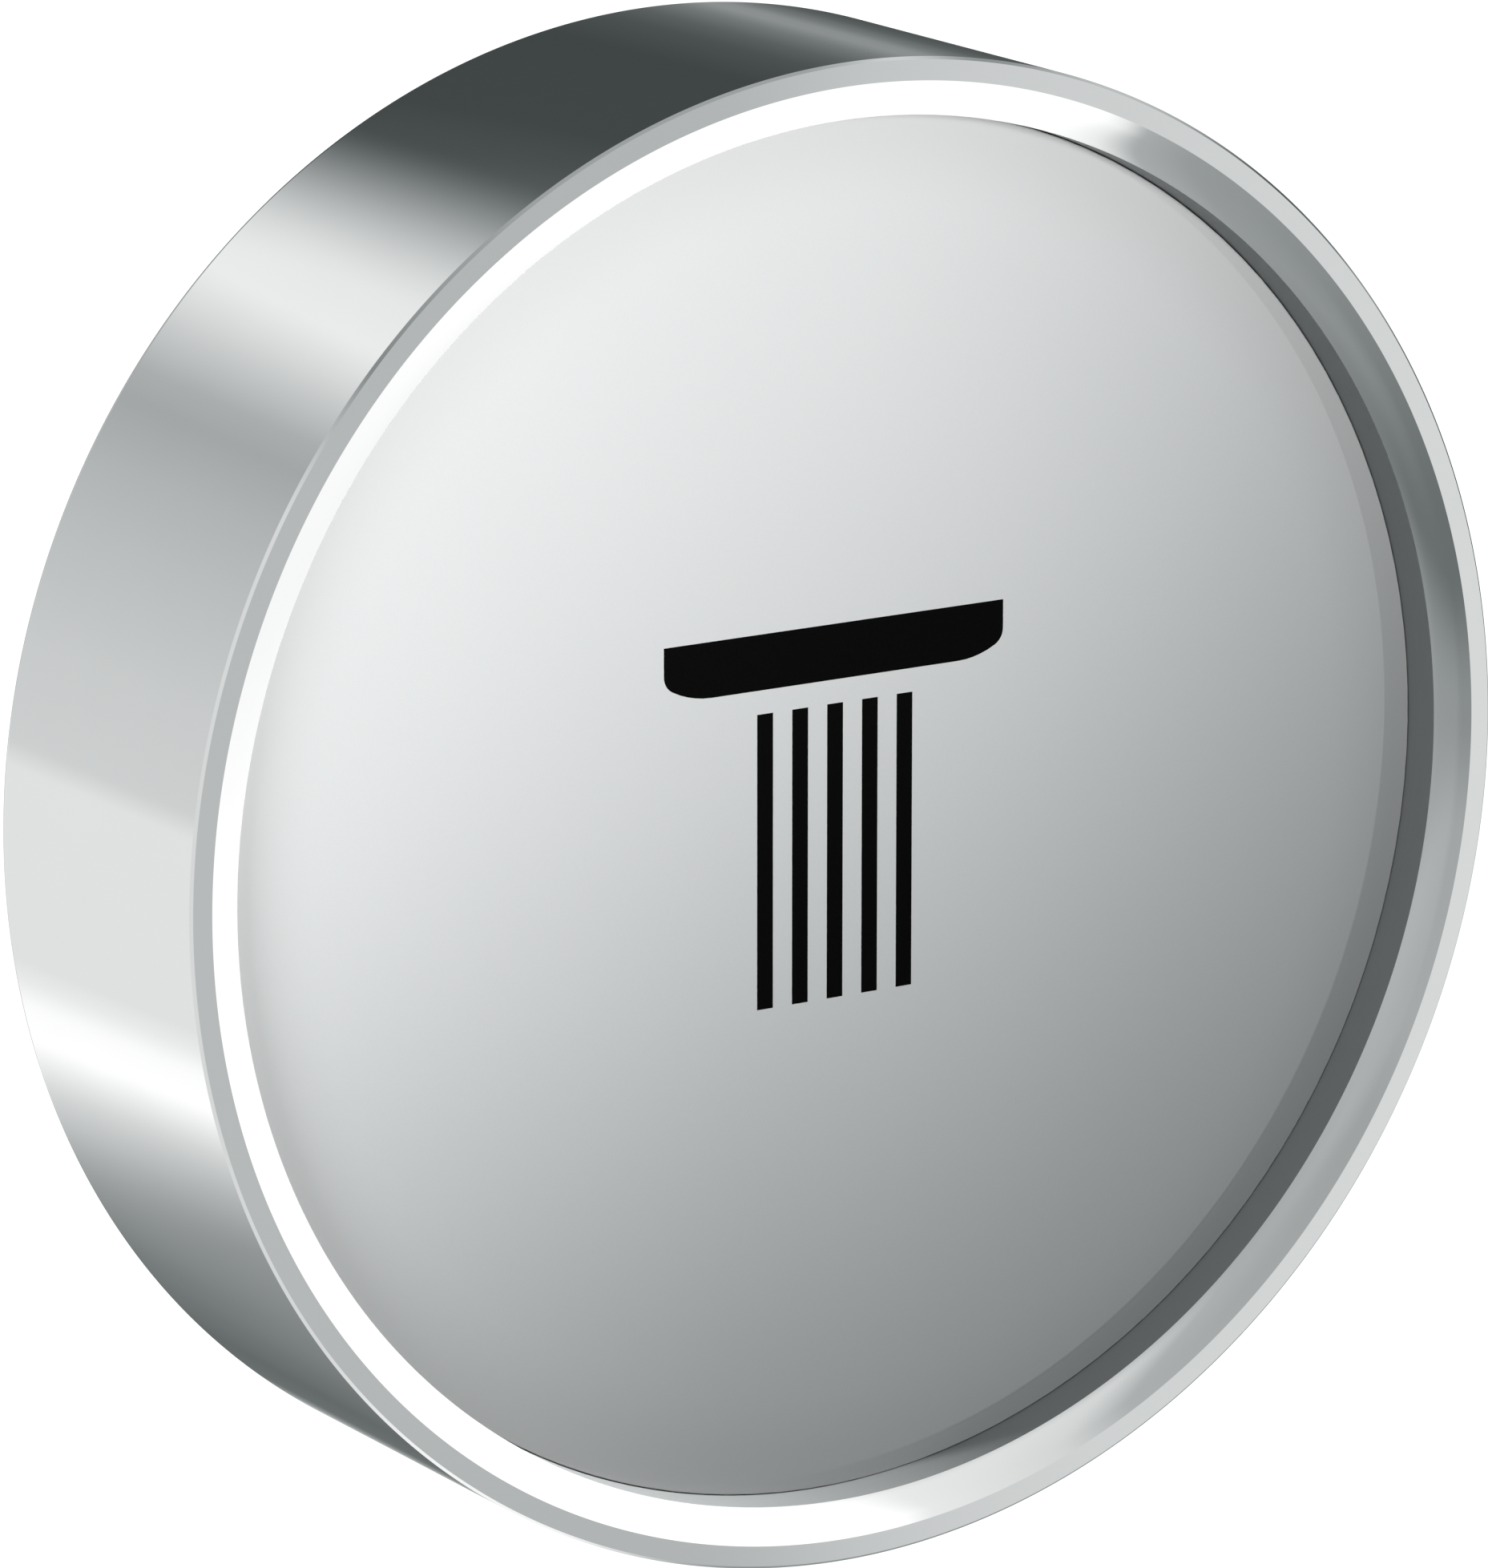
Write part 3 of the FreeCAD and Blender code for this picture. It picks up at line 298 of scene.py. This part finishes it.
    # straight up and straight down the bands would meet in a seam
    to_ceiling = smooth_step(tree, elevation, 44, 62)
    to_floor = smooth_step(tree, math_node(tree, "MULTIPLY", elevation, -1.0), 62, 84)
    grey_ceiling = (0.36, 0.36, 0.36, 1)
    pale_ground = (0.95, 0.95, 0.95, 1)
    under_ceiling = mix(tree, to_ceiling, around, grey_ceiling)
    room = mix(tree, to_floor, under_ceiling, pale_ground)
    # the darker the room, the cooler it is
    grey = tree.nodes.new("ShaderNodeSeparateColor")
    tree.links.new(room, grey.inputs[0])
    cool = tree.nodes.new("ShaderNodeCombineColor")
    tree.links.new(math_node(tree, "POWER", grey.outputs[0], 1.05), cool.inputs[0])
    tree.links.new(grey.outputs[1], cool.inputs[1])
    tree.links.new(grey.outputs[2], cool.inputs[2])

    def glow(colour):
        node = tree.nodes.new("ShaderNodeBackground")
        feed(tree, node.inputs["Color"], colour)
        return node.outputs[0]

    def switch(on, first, second):
        node = tree.nodes.new("ShaderNodeMixShader")
        for socket, value in zip(node.inputs, (on, first, second)):
            tree.links.new(value, socket)
        return node.outputs[0]

    ray = tree.nodes.new("ShaderNodeLightPath").outputs
    for_matte = glow((0.0, 0.025, 0.030, 1))
    for_camera = glow((1, 1, 1, 1))
    after_matte = math_node(tree, "GREATER_THAN", ray["Diffuse Depth"], 0.5)
    lit = switch(after_matte, glow(cool.outputs[0]), for_matte)
    tree.links.new(switch(ray["Is Camera Ray"], lit, for_camera), output.inputs["Surface"])


build_world()


# ---------------------------------------------------------------- materials
def polished_chrome():
    """Mirror plating over turned brass, with very faint polishing marks."""
    material, tree, shader = new_material("polished_chrome")
    shader.inputs["Metallic"].default_value = 1.0
    haze = noise(tree, surface_place(tree), 3.0)
    marks = noise(tree, turned_place(tree), 0.06, 2.0)
    colour = mix(tree, haze, (0.96, 0.965, 0.965, 1), (0.98, 0.985, 0.985, 1))
    tree.links.new(colour, shader.inputs["Base Color"])
    tree.links.new(between(tree, marks, 0.025, 0.055), shader.inputs["Roughness"])
    bump(tree, shader, marks, 0.00002)
    return material


def blasted_bore():
    """The ring's bore behind the chamfer, left matte under a thin plating.
    It is darker for the light it gives to matte parts than for the eye, so it throws no pale
    halo on the disc."""
    material, tree, shader = new_material("blasted_bore")
    grain = noise(tree, surface_place(tree), 0.05, 2.0)
    marks = noise(tree, turned_place(tree), 0.05, 2.0)
    seen = mix(tree, marks, (0.245, 0.255, 0.255, 1), (0.285, 0.295, 0.295, 1))
    after_matte = tree.nodes.new("ShaderNodeLightPath").outputs["Diffuse Depth"]
    colour = mix(tree, math_node(tree, "GREATER_THAN", after_matte, 0.5), seen, (0.08, 0.08, 0.08, 1))
    tree.links.new(colour, shader.inputs["Base Color"])
    tree.links.new(between(tree, grain, 0.40, 0.55), shader.inputs["Roughness"])
    shader.inputs["Specular IOR Level"].default_value = 0.2
    bump(tree, shader, grain, 0.0005)
    return material


def satin_silver():
    """Fine satin silver, with painted shade that darkens it towards the edge, where the ring's wall would
    shade it.
    Its clear lacquer mirrors the bore's wall faintly."""
    material, tree, shader = new_material("satin_silver")
    grain = noise(tree, surface_place(tree), 0.06, 2.0)
    cloud = noise(tree, surface_place(tree), 6.0)
    colour = mix(tree, grain, (0.715, 0.73, 0.73, 1), (0.765, 0.775, 0.775, 1))
    clouded = mix(tree, between(tree, cloud, 0.0, 0.12), colour, (0.66, 0.68, 0.68, 1))
    radius = round_axis(tree)[0]
    # painted shade: the base colour darkens near the disc's edge in place of the shadow that the ring's
    # wall casts there
    painted_edge_shade_mask = smooth_step(tree, radius, 0.78 * RING_RADIUS * MM, 0.91 * RING_RADIUS * MM)
    edge_wear_and_painted_shade = mix(tree, between(tree, painted_edge_shade_mask, 0.0, 0.55), clouded, (0.64, 0.65, 0.65, 1))
    tree.links.new(edge_wear_and_painted_shade, shader.inputs["Base Color"])
    tree.links.new(between(tree, grain, 0.34, 0.46), shader.inputs["Roughness"])
    shader.inputs["Specular IOR Level"].default_value = 0.05
    shader.inputs["Coat Weight"].default_value = 1.0
    shader.inputs["Coat Roughness"].default_value = 0.01
    shader.inputs["Coat IOR"].default_value = 1.8
    bump(tree, shader, grain, 0.0003)
    return material


def symbol_black():
    """Matte black filling with fine grain."""
    material, tree, shader = new_material("symbol_black")
    grain = noise(tree, surface_place(tree), 0.05, 4.0)
    colour = mix(tree, grain, (0.0015, 0.0015, 0.0016, 1), (0.0055, 0.0055, 0.0056, 1))
    tree.links.new(colour, shader.inputs["Base Color"])
    tree.links.new(between(tree, grain, 0.8, 1.0), shader.inputs["Roughness"])
    shader.inputs["Specular IOR Level"].default_value = 0.03
    bump(tree, shader, grain, 0.004)
    return material


def turned_metal(name, dark, light, smooth, rough, mark_mm, edge_wear_and_painted_shade):
    """Bare metal off the lathe: fine rings, faint stains, and edges rubbed bright."""
    material, tree, shader = new_material(name)
    shader.inputs["Metallic"].default_value = 1.0
    marks = noise(tree, turned_place(tree), mark_mm, 3.0)
    stain = noise(tree, surface_place(tree), 4.0, 4.0)
    colour = mix(tree, stain, (*dark, 1), (*light, 1))
    rubbed = mix(tree, edge_share(tree, 0.15), colour, (*edge_wear_and_painted_shade, 1))
    tree.links.new(rubbed, shader.inputs["Base Color"])
    tree.links.new(between(tree, marks, smooth, rough), shader.inputs["Roughness"])
    bump(tree, shader, marks, 0.0012)
    return material


def spring_steel():
    """Drawn wire and rolled strip: lengthwise marks and a slightly blued tone."""
    material, tree, shader = new_material("spring_steel")
    shader.inputs["Metallic"].default_value = 1.0
    drawn = noise(tree, turned_place(tree), 0.04, 3.0)
    stain = noise(tree, surface_place(tree), 1.5, 3.0)
    colour = mix(tree, stain, (0.40, 0.41, 0.44, 1), (0.56, 0.57, 0.59, 1))
    tree.links.new(colour, shader.inputs["Base Color"])
    tree.links.new(between(tree, drawn, 0.18, 0.36), shader.inputs["Roughness"])
    bump(tree, shader, drawn, 0.0008)
    return material


def moulding(name, dark, light, grain_mm, depth_mm, rough):
    """Moulded plastic with an eroded grain, cloudy pigment and slightly paler edges."""
    material, tree, shader = new_material(name)
    grain = noise(tree, surface_place(tree), grain_mm, 3.0)
    cloud = noise(tree, surface_place(tree), 5.0)
    colour = mix(tree, cloud, (*dark, 1), (*light, 1))
    paler = [min(1.0, 1.35 * level) for level in light]
    edges = between(tree, edge_share(tree, 0.12), 0.0, 0.6)
    tree.links.new(mix(tree, edges, colour, (*paler, 1)), shader.inputs["Base Color"])
    tree.links.new(between(tree, grain, rough - 0.08, rough + 0.1), shader.inputs["Roughness"])
    bump(tree, shader, grain, depth_mm)
    return material


def black_rubber():
    """Moulded rubber: almost matte, with bloom in pale clouds and a fine pore."""
    material, tree, shader = new_material("black_rubber")
    pore = noise(tree, surface_place(tree), 0.08, 3.0)
    bloom = noise(tree, surface_place(tree), 2.5, 4.0)
    colour = mix(tree, bloom, (0.014, 0.014, 0.015, 1), (0.034, 0.034, 0.036, 1))
    tree.links.new(colour, shader.inputs["Base Color"])
    tree.links.new(between(tree, pore, 0.55, 0.8), shader.inputs["Roughness"])
    bump(tree, shader, pore, 0.002)
    return material


def bond_film():
    """Thin white adhesive film with a fibrous carrier."""
    material, tree, shader = new_material("bond_film")
    fibre = noise(tree, stretched_place(tree, (1.0, 1.0, 0.2)), 0.15, 4.0)
    colour = mix(tree, fibre, (0.74, 0.74, 0.70, 1), (0.88, 0.88, 0.85, 1))
    tree.links.new(colour, shader.inputs["Base Color"])
    tree.links.new(between(tree, fibre, 0.5, 0.75), shader.inputs["Roughness"])
    bump(tree, shader, fibre, 0.003)
    return material


MATERIALS = {
    "polished_chrome": polished_chrome(),
    "satin_silver": satin_silver(),
    "symbol_black": symbol_black(),
    "bond_film": bond_film(),
    "grey_moulding": moulding(
        "grey_moulding", dark=(0.045, 0.047, 0.05), light=(0.065, 0.068, 0.072),
        grain_mm=0.12, depth_mm=0.006, rough=0.5),
    "white_moulding": moulding(
        "white_moulding", dark=(0.74, 0.74, 0.70), light=(0.80, 0.80, 0.77),
        grain_mm=0.2, depth_mm=0.003, rough=0.4),
    "black_rubber": black_rubber(),
    "turned_brass": turned_metal(
        "turned_brass", dark=(0.66, 0.44, 0.17), light=(0.83, 0.61, 0.29),
        smooth=0.16, rough=0.34, mark_mm=0.09, edge_wear_and_painted_shade=(0.93, 0.75, 0.42)),
    "stainless_steel": turned_metal(
        "stainless_steel", dark=(0.56, 0.56, 0.55), light=(0.68, 0.675, 0.665),
        smooth=0.14, rough=0.32, mark_mm=0.07, edge_wear_and_painted_shade=(0.80, 0.80, 0.79)),
    "spring_steel": spring_steel(),
}
BORE_MATERIAL = blasted_bore()
SLOT_OF = {part["node"]: part["material_slot"] for part in frame["record"]["subparts"]}
for node_name, node in frame["nodes"].items():
    node.data.materials.clear()
    node.data.materials.append(MATERIALS[SLOT_OF[node_name]])


# ---------------------------------------------------------------- turned meshes
def arc(centre, radius, start, stop, steps):
    """Points (radius from the axis, y) on an arc, angles in degrees."""
    points = []
    for step in range(steps + 1):
        angle = math.radians(start + (stop - start) * step / steps)
        points.append((centre[0] + radius * math.cos(angle), centre[1] + radius * math.sin(angle)))
    return points


def finish_mesh(mesh, smooth_angle):
    """Outward faces, smooth shading and sharp edges above an angle in degrees."""
    mesh.validate()
    work = bmesh.new()
    work.from_mesh(mesh)
    bmesh.ops.recalc_face_normals(work, faces=work.faces)
    work.to_mesh(mesh)
    work.free()
    mesh.shade_smooth()
    mesh.set_sharp_from_angle(angle=math.radians(smooth_angle))


def new_piece(name, mesh, slot, body, stands_for):
    """Puts a mesh in the scene, on its body, in place of a CAD node."""
    piece = bpy.data.objects.new(name, mesh)
    bpy.context.scene.collection.objects.link(piece)
    mesh.materials.append(MATERIALS[slot])
    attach(piece, body)
    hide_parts(stands_for)
    return piece


def turned_mesh(name, profile, segments, smooth_angle=25):
    """A closed mesh turned round the Y axis from a closed profile in millimetres."""
    vertices = []
    faces = []
    count = len(profile)
    for segment in range(segments):
        angle = 2 * math.pi * segment / segments
        for radius, along in profile:
            vertices.append((radius * MM * math.cos(angle), along * MM, radius * MM * math.sin(angle)))
    for segment in range(segments):
        following = (segment + 1) % segments
        for index in range(count):
            after = (index + 1) % count
            faces.append((segment * count + index, following * count + index,
                          following * count + after, segment * count + after))
    mesh = bpy.data.meshes.new(name)
    mesh.from_pydata(vertices, [], faces)
    finish_mesh(mesh, smooth_angle)
    return mesh


def chamfer_points(steps):
    """The hollow chamfer from the rim's inner edge down to the bore: straight at first, then flatter."""
    width = RIM_INNER - BORE_RADIUS
    straight = 0.25
    steep, flat = 28.3, 16.3
    drops = [0.0]
    for step in range(steps):
        share = max(0.0, (step + 0.5) / steps - straight) / (1 - straight)
        tilt = math.radians(steep + (flat - steep) * share)
        drops.append(drops[-1] + math.tan(tilt) * width / steps)
    points = []
    for step, drop in enumerate(drops):
        points.append((RIM_INNER - width * step / steps, -RING_DEPTH + drop * CHAMFER_DEPTH / drops[-1]))
    return points


def make_ring():
    """The bezel ring, with a fine bevel in front and a rounded edge behind.
    Loops beside each edge keep the flats flat when shaded smooth."""
    front = -RING_DEPTH
    front_edge = 0.09
    rear_edge = 0.25
    beside = 0.04
    arc_steps = 8
    chamfer_steps = 32
    segments = 720
    profile = [(LIP_INNER, -0.1), (LIP_INNER + 0.1, 0.0), (GASKET_INNER, 0.0),
               (GASKET_INNER, -GASKET_DEPTH), (GASKET_OUTER, -GASKET_DEPTH), (GASKET_OUTER, 0.0),
               (RING_RADIUS - rear_edge - beside, 0.0)]
    profile += arc((RING_RADIUS - rear_edge, -rear_edge), rear_edge, 90, 0, arc_steps)
    profile += [(RING_RADIUS, -rear_edge - beside), (RING_RADIUS, front + front_edge + beside),
                (RING_RADIUS, front + front_edge), (RING_RADIUS - front_edge, front),
                (RING_RADIUS - front_edge - beside, front), (RIM_INNER + beside, front)]
    profile += chamfer_points(chamfer_steps)
    profile += [(BORE_RADIUS, -LIP_HEIGHT), (LIP_INNER, -LIP_HEIGHT)]
    mesh = turned_mesh("ring_shell", profile, segments)
    ring = new_piece("ring_shell", mesh, "polished_chrome", "housing", "bezel_ring")
    mesh.materials.append(BORE_MATERIAL)
    bore_front = (front + CHAMFER_DEPTH) * MM
    near = 0.01 * MM
    for face in mesh.polygons:
        centre = face.center
        in_bore = abs(math.hypot(centre.x, centre.z) - BORE_RADIUS * MM) < near
        if in_bore and centre.y > bore_front:
            face.material_index = 1
    return ring


ring = make_ring()


def wire_mesh(name, centres, wire, sides):
    """A round wire along centre points, closed at both ends, all in millimetres."""
    vertices = []
    faces = []
    last = len(centres) - 1
    for index, centre in enumerate(centres):
        along = (centres[min(index + 1, last)] - centres[max(index - 1, 0)]).normalized()
        outward = Vector((centre.x, 0, centre.z)).normalized()
        across = along.cross(outward).normalized()
        outward = across.cross(along)
        for side in range(sides):
            angle = 2 * math.pi * side / sides
            vertices.append((centre + wire * (math.cos(angle) * outward + math.sin(angle) * across)) * MM)
    for index in range(last):
        for side in range(sides):
            following = (side + 1) % sides
            faces.append((index * sides + side, index * sides + following,
                          (index + 1) * sides + following, (index + 1) * sides + side))
    faces.append(tuple(range(sides)))
    faces.append(tuple(last * sides + side for side in range(sides)))
    mesh = bpy.data.meshes.new(name)
    mesh.from_pydata(vertices, [], faces)
    finish_mesh(mesh, 50)
    return mesh


def make_spring():
    """The return spring: closed end coils and open coils between."""
    coil_radius = 6.5
    wire = 0.4
    end_pitch = 0.82
    open_coils = 4.5
    steps = 64
    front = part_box("return_spring")[0].y / MM + wire
    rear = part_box("return_spring")[1].y / MM - wire
    open_pitch = (rear - front - 2 * end_pitch) / open_coils
    centres = []
    for step in range(int((open_coils + 2) * steps) + 1):
        coils = step / steps
        in_middle = min(max(coils - 1, 0), open_coils)
        along = front + (coils - in_middle) * end_pitch + in_middle * open_pitch
        angle = 2 * math.pi * coils
        centres.append(Vector((coil_radius * math.cos(angle), along, coil_radius * math.sin(angle))))
    mesh = wire_mesh("spring_wire", centres, wire, sides=16)
    spring = new_piece("spring_wire", mesh, SLOT_OF["return_spring"], "housing", "return_spring")
    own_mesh(spring)


make_spring()


# ---------------------------------------------------------------- floor and lights
def make_floor():
    """A wide white floor well below the part. It is there for the camera and lights nothing."""
    size = 8.0
    level = -0.30
    mesh = bpy.data.meshes.new("floor")
    corners = [(-size, -size, level), (size, -size, level), (size, size, level), (-size, size, level)]
    mesh.from_pydata(corners, [], [(0, 1, 2, 3)])
    floor = bpy.data.objects.new("floor", mesh)
    bpy.context.scene.collection.objects.link(floor)
    material, tree, shader = new_material("pale_floor")
    shader.inputs["Base Color"].default_value = (0.9, 0.9, 0.9, 1)
    shader.inputs["Roughness"].default_value = 0.9
    shader.inputs["Emission Color"].default_value = (1, 1, 1, 1)
    shader.inputs["Emission Strength"].default_value = 1.0
    mesh.materials.append(material)
    floor.visible_glossy = False
    floor.visible_diffuse = False
    floor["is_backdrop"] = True


make_floor()


def add_lamp(name, kind, place, target, power, receivers):
    """A lamp that lights only the matte side of its receivers, so that polished faces don't mirror it."""
    lamp = bpy.data.lights.new(name, kind)
    lamp.energy = power
    light = bpy.data.objects.new(name, lamp)
    light.location = place
    light.rotation_mode = "QUATERNION"
    light.rotation_quaternion = (Vector(target) - Vector(place)).to_track_quat("-Z", "Y")
    bpy.context.scene.collection.objects.link(light)
    light.visible_camera = False
    light.visible_glossy = False
    lit = bpy.data.collections.new(name + "_lights")
    for receiver in receivers:
        lit.objects.link(receiver)
    light.light_linking.receiver_collection = lit
    return lamp


def make_lamps():
    """A soft spot high on the left and a small box close to the ring's left edge light the disc.
    The small box and two lamps of its own light the ring's matte bore, and three soft boxes light
    everything else."""
    disc = frame["nodes"]["face_disc"]
    symbol = frame["nodes"]["symbol_inlay"]
    others = [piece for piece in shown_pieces() if piece not in (disc, symbol, ring)]
    radius = RING_RADIUS * MM
    disc_centre = Vector((0, -DISC_FRONT * MM, 0))
    face_centre = Vector((0, -RING_DEPTH * MM, 0))

    spot_aim = disc_centre + Vector((-0.83 * radius, 0, 1.52 * radius))
    spot_place = spot_aim - Vector((0, 5.7 * radius, 0))
    spot = add_lamp("disc_spot", "SPOT", spot_place, spot_aim, 1.06, [disc, symbol])
    spot.color = (1.0, 0.98, 0.98)
    spot.spot_size = math.radians(55.4)
    spot.spot_blend = 1.0
    spot.shadow_soft_size = radius

    box_place = face_centre + Vector((-1.55 * radius, -0.31 * radius, -0.1 * radius))
    side_box = add_lamp("side_box", "AREA", box_place, face_centre, 0.0042, [disc, symbol, ring])
    side_box.size = 0.7 * radius

    for name, place, power in (("bore_light", (0.475, -0.11, 0.125), 9.0),
                               ("bore_fill", (-0.266, -0.35, 0.238), 0.8)):
        bore_lamp = add_lamp(name, "AREA", place, disc_centre, power, [ring])
        bore_lamp.size = 0.04

    for name, place, power in (("front_box", (-0.30, -0.45, 0.40), 9.0),
                               ("rear_box", (-0.25, 0.50, 0.35), 9.0),
                               ("low_box", (0.45, 0.20, -0.15), 4.0)):
        soft_box = add_lamp(name, "AREA", place, (0, 0, 0), power, others)
        soft_box.size = 0.25


make_lamps()


# ---------------------------------------------------------------- camera
def make_camera():
    """Slightly above and to the left of the button, looking at it with a long lens."""
    azimuth = math.radians(-32.30)
    elevation = math.radians(14.26)
    right = Vector((math.cos(azimuth), math.sin(azimuth), 0))
    forward = Vector((-math.sin(azimuth) * math.cos(elevation), math.cos(azimuth) * math.cos(elevation),
                      -math.sin(elevation)))
    up = right.cross(forward)
    distance = 12.44 * RING_RADIUS * MM
    shift_right = 0.1594 * RING_RADIUS * MM
    shift_up = -0.0509 * RING_RADIUS * MM
    face_centre = Vector((0, -RING_DEPTH * MM, 0))
    camera_data = bpy.data.cameras.new("camera")
    camera_data.sensor_width = 36.0
    camera_data.lens = 220.8
    camera_data.clip_start = 0.01
    camera_data.clip_end = 50
    camera = bpy.data.objects.new("camera", camera_data)
    camera.matrix_world = Matrix.Translation(
        face_centre - right * shift_right - up * shift_up - forward * distance
    ) @ Matrix((right, up, -forward)).transposed().to_4x4()
    bpy.context.scene.collection.objects.link(camera)
    bpy.context.scene.camera = camera


make_camera()
bpy.context.scene.view_settings.view_transform = "Standard"
